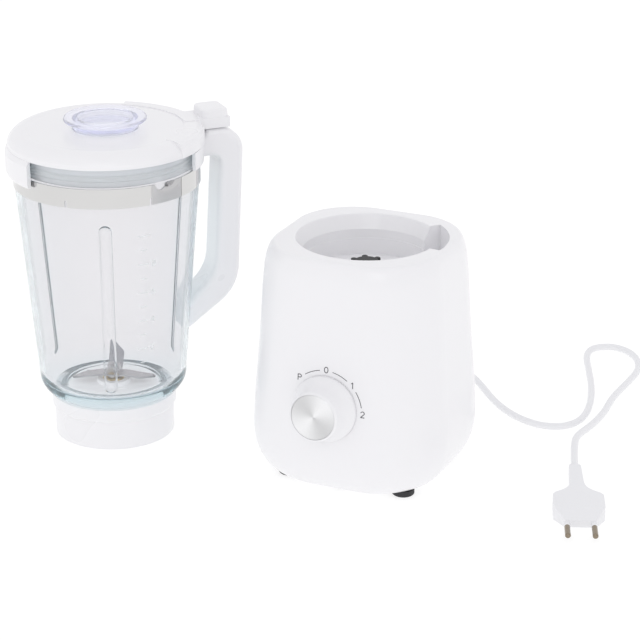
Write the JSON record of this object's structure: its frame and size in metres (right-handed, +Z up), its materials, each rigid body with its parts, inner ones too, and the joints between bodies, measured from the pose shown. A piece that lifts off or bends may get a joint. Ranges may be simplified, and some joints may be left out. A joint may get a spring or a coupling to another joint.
{
  "type": "countertop blender",
  "caption": "Countertop blender with its glass jar standing beside the motor base: handle, lid, measuring cap, blades, rotary knob, drive motor and mains lead.",
  "frame": {"origin": "on the worktop, at the middle of the box round the motor base and the jar, without the mains lead", "axes": "+Z up, out of the jar seat; +X from the jar towards the motor base, the longest way; the knob faces -Y"},
  "size_m": [0.4635, 0.381, 0.2422],
  "materials": {
    "white_shell": "smooth semi-gloss white polypropylene",
    "white_knob": "gloss white",
    "brushed_disc": "turned, with fine circular brushing",
    "jug_glass": "clear pressed glass, faintly green at its edges",
    "chrome_trim": "mirror",
    "clear_plastic": "clear, faintly lilac",
    "white_rubber": "soft matt",
    "dark_rubber": "matt",
    "black_plastic": "moulded, matt",
    "carbon": "matt carbon",
    "white_switch": "smooth",
    "copper": "copper winding wire and segments",
    "core_steel": "stacked sheet",
    "cast_metal": "cast",
    "steel": "turned and plated",
    "blade_steel": "ground stainless steel",
    "bush_brass": "turned",
    "white_carrier": "smooth",
    "cord_sheath": "soft white sheath, satin",
    "pin_brass": "nickel worn to dull brass"
  },
  "bodies": {
    "base": {"housing": "white_shell", "bottom_cover": "white_shell", "foot_front_left": "dark_rubber", "foot_front_right": "dark_rubber", "foot_rear_left": "dark_rubber", "foot_rear_right": "dark_rubber", "cover_screws": "steel", "stator_core": "core_steel", "stator_coils": "copper", "upper_bracket": "cast_metal", "lower_bracket": "cast_metal", "upper_bearing": "steel", "lower_bearing": "steel", "brush_holders": "black_plastic", "carbon_brushes": "carbon", "motor_dampers": "dark_rubber", "motor_screws": "steel", "shaft_seal": "dark_rubber", "rotary_switch": "black_plastic", "microswitch": "black_plastic", "interlock_cage": "black_plastic", "interlock_spring": "steel", "cord_gland": "cord_sheath", "power_cord": "cord_sheath", "plug_body": "cord_sheath", "plug_pins": "pin_brass", "pin_sleeves": "cord_sheath"},
    "rotor": {"motor_shaft": "steel", "rotor_core": "core_steel", "rotor_windings": "copper", "commutator": "copper", "cooling_fan": "black_plastic", "drive_coupler": "black_plastic"},
    "knob": {"knob": "white_knob", "knob_disc": "brushed_disc", "switch_shaft": "steel"},
    "slider": {"interlock_slider": "white_switch"},
    "jar": {"glass_jug": "jug_glass", "chrome_band": "chrome_trim", "handle": "white_shell"},
    "blade_base": {"collar": "white_shell", "jug_gasket": "white_rubber", "blade_carrier": "white_carrier", "blade_bush": "bush_brass"},
    "blades": {"blade_shaft": "steel", "lower_blades": "blade_steel", "upper_blades": "blade_steel", "blade_spacer": "steel", "blade_nut": "steel", "jar_coupler": "black_plastic"},
    "lid": {"lid": "white_shell", "lid_seal": "white_rubber"},
    "cap": {"measuring_cap": "clear_plastic"}
  },
  "joints": [
    {"name": "jar_lift", "type": "slide", "parent": "base", "child": "jar", "axis": [0, 0, 1], "range_m": [0, 0.25]},
    {"name": "lid_lift", "type": "slide", "parent": "jar", "child": "lid", "axis": [0, 0, 1], "range_m": [0, 0.08]},
    {"name": "cap_lift", "type": "slide", "parent": "lid", "child": "cap", "axis": [0, 0, 1], "range_m": [0, 0.06]},
    {"name": "collar_turn", "type": "hinge", "parent": "jar", "child": "blade_base", "pos_m": [-0.1008, -0.0034, 0.01], "axis": [0, 0, -1], "range_deg": [0, 60]},
    {"name": "blade_spin", "type": "hinge", "parent": "blade_base", "child": "blades", "pos_m": [-0.1008, -0.0034, 0.03], "axis": [0, 0, 1], "continuous": true},
    {"name": "motor_spin", "type": "hinge", "parent": "base", "child": "rotor", "pos_m": [0.098, 0.01, 0.08], "axis": [0, 0, 1], "continuous": true},
    {"name": "knob_turn", "type": "hinge", "parent": "base", "child": "knob", "pos_m": [0.098, -0.06069, 0.072], "axis": [0, 0.998, -0.0637], "range_deg": [-45, 90]},
    {"name": "interlock_press", "type": "slide", "parent": "base", "child": "slider", "axis": [0, 0, -1], "range_m": [0, 0.003], "stiffness_N_per_m": 400, "springref_m": -0.003, "deforming": ["interlock_spring"]}
  ]
}
